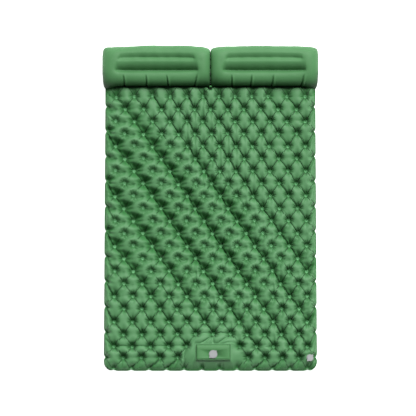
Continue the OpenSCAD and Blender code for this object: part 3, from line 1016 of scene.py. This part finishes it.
def make_foam():
    """The pump's foam block, rounded to the panel, with its air bore."""
    width, depth = (FOAM_HIGH - FOAM_LOW)[:2]
    bottom, top = float(FOAM_LOW[2]), float(FOAM_HIGH[2]) - 0.3
    foot, side_top = bottom + 2, top - PANEL_RIM_DROP - 2
    sides = []
    for t in np.linspace(0, 1, 12):
        inset = 2 - 1.4 * sin(pi * t)
        sides.append(pump_loop(width - inset, depth - inset, PUMP_CORNER, foot + (side_top - foot) * t))
    crown = lowered(crowned_loops(FOAM_LOW, FOAM_HIGH, top, PUMP_CORNER - 1, -3.0), 1.6)
    bore_heights = [top - 1.6, *np.linspace(top - 12, bottom + 8, 6)]
    loops = [
        intake_ring(FOAM_BORE, bottom),
        pump_loop(width - 6, depth - 6, PUMP_CORNER, bottom),
        *sides,
        *crown,
        *[intake_ring(FOAM_BORE, z) for z in bore_heights],
    ]
    return loft("pump_foam_block", loops)


# ---- air valve's patch

# The ring's cross-section: distance from the valve's axis, and height along it
PATCH_PROFILE = ((17.1, -1.2), (24.6, -1.2), (25.0, -0.9), (24.4, -0.2), (22.5, 0.0), (17.1, -0.05))


def make_patch():
    """The fabric ring around the air valve, with a soft edge."""
    axis, up, centre = Vector(VALVE_AXIS), Vector((0, 1, 0)), Vector(VALVE_AT)
    across = up.cross(axis).normalized()
    loops = []
    for radius, height in PATCH_PROFILE:
        middle = centre + axis * height
        turns = np.linspace(0, 2 * pi, 48, endpoint=False)
        loops.append([middle + (across * cos(a) + up * sin(a)) * radius for a in turns])
    patch = loft("air_valve_patch_ring", loops)
    return patch


# ---- materials

# Painted highlight on the weld discs
DISC_PAINTED_HIGHLIGHT = (0.14, 0.39, 0.17)
# Painted shade low in the pits around the welds
PIT_PAINTED_SHADE = (0.045, 0.2, 0.055)
# Painted shadow in the folds between welds
FOLD_PAINTED_SHADOW = (0.004, 0.04, 0.006)
# Painted shade low on the pillow walls
WALL_PAINTED_SHADE = (0.002, 0.03, 0.004)
THREAD_PITCH = 0.0009
# The pinched rays in the cloth at a weld: how many, and how high in millimetres
RAY_TURNS, RAY_RELIEF = 2.4, 3.0
# Folds between welds, in millimetres, the strength of their painted shadow, and their share at shallow
# welds
FOLD_CORE, FOLD_HALF_WIDTH, FOLD_SHADOW_STRENGTH, CALM_FOLDS = 0.4, 3.0, 0.75, 0.2
# Heights in metres over which the cloth turns from its painted low shade to its usual colour, in the pits
# and on the pillow walls
PIT_PAINTED_SHADE_HEIGHTS, WALL_PAINTED_SHADE_HEIGHTS = (0.045, 0.088), (0.075, 0.148)
PILLOW_FILM = {"crinkle": 0.3, "gloss": 0.25, "sheen": 0.0}


class Graph:
    """The nodes of a new material. An input is a number, a colour or another node's socket."""

    def __init__(self, name):
        self.material = bpy.data.materials.new(name)
        self.material.use_nodes = True
        self.tree = self.material.node_tree
        self.shader = self.tree.nodes["Principled BSDF"]
        self.place = self.add("TexCoord", {}, "Object")

    def feed(self, node, inputs):
        for name, value in inputs.items():
            if isinstance(value, bpy.types.NodeSocket):
                self.tree.links.new(value, node.inputs[name])
            else:
                node.inputs[name].default_value = value

    def add(self, kind, inputs, output=0, **settings):
        """A new node's output, once its settings and inputs are in."""
        node = self.tree.nodes.new("ShaderNode" + kind)
        for name, value in settings.items():
            setattr(node, name, value)
        self.feed(node, inputs)
        return node.outputs[output]

    def maths(self, operation, *values):
        return self.add("Math", dict(enumerate(values)), operation=operation)

    def product(self, first, *others):
        for value in others:
            first = self.maths("MULTIPLY", first, value)
        return first

    def ramp(self, value, low, high, to_low=0.0, to_high=1.0, kind="SMOOTHSTEP"):
        """A step of a socket from low to high."""
        steps = {"From Min": low, "From Max": high, "To Min": to_low, "To Max": to_high}
        return self.add("MapRange", {"Value": value, **steps}, "Result", interpolation_type=kind)

    def noise(self, place, scale, detail, roughness=0.5):
        inputs = {"Vector": place, "Scale": scale, "Detail": detail, "Roughness": roughness}
        return self.add("TexNoise", inputs, "Fac")

    def parts(self, vector):
        return self.add("SeparateXYZ", {"Vector": vector}).node.outputs[:3]

    def shade(self, value, shades, start=0.0, end=1.0):
        """A colour ramp between two shades."""
        node = self.tree.nodes.new("ShaderNodeValToRGB")
        self.feed(node, {"Fac": value})
        for element, place, colour in zip(node.color_ramp.elements, (start, end), shades):
            element.position, element.color = place, (*colour, 1)
        return node.outputs["Color"]

    def tint(self, share, colour):
        """Mixes a colour into the shader's own."""
        base = self.shader.inputs["Base Color"]
        inputs = {"Factor": share, "A": base.links[0].from_socket, "B": (*colour, 1)}
        self.tree.links.new(self.add("Mix", inputs, "Result", data_type="RGBA"), base)

    def relief(self, height, strength, distance):
        """Bumps on top of the shader's relief so far."""
        normal = self.shader.inputs["Normal"]
        inputs = {"Height": height, "Strength": strength, "Distance": distance}
        if normal.links:
            inputs["Normal"] = normal.links[0].from_socket
        self.tree.links.new(self.add("Bump", inputs, "Normal"), normal)


def coated_fabric(name, shades, rough=(0.5, 0.62), crinkle=0.25, gloss=0.85, sheen=0.08):
    """Film-coated nylon: a fine square weave, soft crinkles and a slow change of shade."""
    g = Graph(name)
    g.feed(
        g.shader,
        {
            "Base Color": g.shade(g.noise(g.place, 5, 4), shades, 0.3, 0.7),
            "Roughness": g.ramp(g.noise(g.place, 28, 3), 0.0, 1.0, *rough, "LINEAR"),
            "Sheen Weight": sheen,
            "Sheen Roughness": 0.4,
            "Specular IOR Level": gloss,
        },
    )
    weave = {"Vector": g.place, "Scale": 1 / (THREAD_PITCH * 20), "Distortion": 0.4}
    threads = [g.add("TexWave", weave, "Fac", bands_direction=along) for along in "XY"]
    g.relief(g.maths("MAXIMUM", *threads), 0.15, 0.0002)
    g.relief(g.noise(g.place, 60, 5, 0.6), crinkle, 0.003)
    return g


def moulded(name, shades, rough=(0.4, 0.55)):
    """Moulded soft plastic with a fine grain."""
    g = Graph(name)
    grain = g.noise(g.place, 900, 2)
    rough = g.ramp(grain, 0.0, 1.0, *rough, "LINEAR")
    g.feed(g.shader, {"Base Color": g.shade(grain, shades), "Roughness": rough})
    g.relief(grain, 0.2, 0.0003)
    return g


def open_foam(name, shades):
    """Open-cell foam: small round pores over a slow change of shade."""
    g = Graph(name)
    pores = g.add("TexVoronoi", {"Vector": g.place, "Scale": 700}, "Distance")
    g.feed(g.shader, {"Base Color": g.shade(pores, shades, 0.0, 0.6), "Roughness": 0.9})
    g.relief(pores, 0.6, 0.0006)
    return g


def paint_wall_shade(g):
    """Painted shade: darker cloth low down on the walls of a pillow, most of all at its front."""
    x, y, z = g.parts(g.place)
    low = g.ramp(z, *WALL_PAINTED_SHADE_HEIGHTS, 0.9, 0.0)
    front = g.ramp(y, (HEAD_Y + 70) * MM, (HEAD_Y + 150) * MM, 1.0, 0.15)
    g.tint(g.product(low, front), WALL_PAINTED_SHADE)


def mark_welds(g):
    """The pressed disc of every weld, pinched rays around it, and folds from weld to weld, with a painted
    highlight on the disc, painted shadow in the folds and painted shade low in the pits.
    """
    x, y, number = g.parts(g.add("Attribute", {}, "Vector", attribute_name="weld"))
    r = g.maths("SQRT", g.maths("ADD", g.product(x, x), g.product(y, y)))
    # Noise around a circle, so that the rays close on themselves
    safe = g.maths("MAXIMUM", r, 0.5)
    turn = {i: g.product(g.maths("DIVIDE", along, safe), RAY_TURNS) for i, along in enumerate((x, y))}
    turn[2] = g.maths("ADD", g.product(r, 0.012), number)
    noise = g.noise(g.add("CombineXYZ", turn), 1, 1)
    ridge = g.ramp(g.maths("ABSOLUTE", g.maths("SUBTRACT", noise, 0.5)), 0.0, 0.09)
    reach = g.product(g.ramp(r, WELD_RADIUS + 1, WELD_RADIUS + 7), g.ramp(r, 22, 40, 1.0, 0.0))
    rays = g.product(reach, g.maths("SUBTRACT", ridge, 1.0))
    disc = g.ramp(r, WELD_RADIUS, WELD_RADIUS + 3, 1.0, 0.0)
    # Sharp folds towards the four welds across the corners
    span = hypot(HALF_COLUMN, ROW_PITCH)
    folds = []
    for lean in (1, -1):
        off = g.maths("ADD", g.product(x, ROW_PITCH / span), g.product(y, -lean * HALF_COLUMN / span))
        folds.append(g.ramp(g.maths("ABSOLUTE", off), FOLD_CORE, FOLD_HALF_WIDTH, 1.0, 0.0))
    beyond = g.product(g.ramp(r, 11, 16), g.ramp(r, 70, 90, 1.0, 0.0))
    calm = g.ramp(number, CALM_NUMBERS / 2 - 10, CALM_NUMBERS / 2 + 10, 1.0, CALM_FOLDS)
    folds = g.product(g.maths("MAXIMUM", *folds), beyond, calm)
    height = g.maths("SUBTRACT", g.maths("ADD", rays, g.product(disc, 0.5)), folds)
    g.relief(height, 1.0, RAY_RELIEF * MM)
    # Painted shade: deeper green low down towards the welds than on top of the puffs
    g.tint(g.ramp(g.parts(g.place)[2], *PIT_PAINTED_SHADE_HEIGHTS, 1.0, 0.0), PIT_PAINTED_SHADE)
    # Painted highlight: the weld's disc is paler than the cloth around it
    g.tint(disc, DISC_PAINTED_HIGHLIGHT)
    # Painted shadow: darker along the folds
    g.tint(g.product(folds, FOLD_SHADOW_STRENGTH), FOLD_PAINTED_SHADOW)


# What makes each material, its dark and its pale shade, and its settings
LOOKS = {
    "top_sheet_fabric": (coated_fabric, (0.1, 0.28, 0.112), (0.115, 0.305, 0.13), {"gloss": 0.3}),
    "pillow_fabric": (coated_fabric, (0.085, 0.255, 0.094), (0.1, 0.285, 0.11), PILLOW_FILM),
    "top_fabric": (coated_fabric, (0.034, 0.22, 0.044), (0.048, 0.255, 0.058), {"crinkle": 0.5}),
    "base_fabric": (coated_fabric, (0.045, 0.13, 0.055), (0.055, 0.15, 0.065), {"rough": (0.5, 0.65)}),
    "inner_fabric": (coated_fabric, (0.04, 0.12, 0.05), (0.05, 0.14, 0.06), {"rough": (0.55, 0.7)}),
    "pump_fabric": (coated_fabric, (0.07, 0.235, 0.078), (0.085, 0.26, 0.093), {"gloss": 0.3}),
    "foam": (open_foam, (0.62, 0.58, 0.42), (0.75, 0.71, 0.55), {}),
    "valve_plastic": (moulded, (0.28, 0.31, 0.30), (0.34, 0.36, 0.35), {}),
    "cap_plastic": (moulded, (0.34, 0.36, 0.36), (0.42, 0.43, 0.43), {}),
    "silicone": (moulded, (0.6, 0.63, 0.63), (0.68, 0.7, 0.7), {"rough": (0.3, 0.4)}),
}
MATERIALS = {name: make(name, shades, **settings) for name, (make, *shades, settings) in LOOKS.items()}
mark_welds(MATERIALS["top_sheet_fabric"])
paint_wall_shade(MATERIALS["pillow_fabric"])

# ---- the pieces

SLOT_OF = {row["node"]: row["material_slot"] for row in frame["record"]["subparts"]}


def finish_piece(obj, node, body="mattress", slot=None, look=None):
    """Gives a piece the material of its slot or look, puts it on its body and hides the CAD part it stands
    for.
    """
    slot = slot or SLOT_OF[node]
    obj.data.materials.append(MATERIALS[look or slot].material)
    if body:
        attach(obj, body)
    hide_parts(node)
    return obj


for node, slot in SLOT_OF.items():
    cad_piece = next(o for o in bpy.data.objects if o.get("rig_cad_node") == node)
    for held_slot in cad_piece.material_slots:
        held_slot.material = MATERIALS[slot].material

mattress_top, mattress_bottom = make_mattress()
finish_piece(mattress_top, "mat_top_sheet", look="top_sheet_fabric")
finish_piece(mattress_bottom, "mat_bottom_sheet")

for side in ("left", "right"):
    pillow_top, pillow_bottom, strips = make_pillow(side)
    finish_piece(pillow_top, f"{side}_pillow_top_panel", look="pillow_fabric")
    finish_piece(pillow_bottom, f"{side}_pillow_bottom_panel")
    for kind, strip in strips.items():
        finish_piece(strip, f"{side}_pillow_{kind}_baffle")
    finish_piece(make_duct(side), f"{side}_pillow_duct")

finish_piece(make_tape(), "head_seam_tape")
finish_piece(make_tie(), "pillow_tie_tab")
finish_piece(make_patch(), "air_valve_patch", slot="top_fabric")
finish_piece(make_pocket(), "pump_pocket", slot="base_fabric")
finish_piece(make_panel(), "pump_foot_panel", body="pump_head")

gusset = finish_piece(make_gusset(), "pump_side_gusset", body=None)
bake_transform(gusset)
foam = finish_piece(make_foam(), "pump_foam")
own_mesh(foam)

# ---- floor and light


def make_stage():
    r = 30 / MM
    floor = mesh_piece("floor", [(-r, -r, 0), (r, -r, 0), (r, r, 0), (-r, r, 0)], [(0, 1, 2, 3)])
    # A lit backdrop, so that the pad stands on white as in a cut-out picture
    g = Graph("floor")
    plain = {"Base Color": (0.9, 0.9, 0.9, 1), "Roughness": 0.9}
    g.feed(g.shader, {**plain, "Emission Color": (1, 1, 1, 1), "Emission Strength": 0.95})
    floor.data.materials.append(g.material)

    world = bpy.data.worlds.new("world")
    world.use_nodes = True
    background = world.node_tree.nodes["Background"]
    background.inputs["Color"].default_value = (1, 1, 1, 1)
    background.inputs["Strength"].default_value = 0.15
    bpy.context.scene.world = world

    sun = bpy.data.lights.new("key", "SUN")
    sun.energy, sun.angle = 3.8, radians(35)
    key = link(bpy.data.objects.new("key", sun))
    key.rotation_euler = Vector((-0.25, -0.58, -0.78)).to_track_quat("-Z", "Y").to_euler()
    bpy.context.scene.view_settings.view_transform = "Standard"


make_stage()
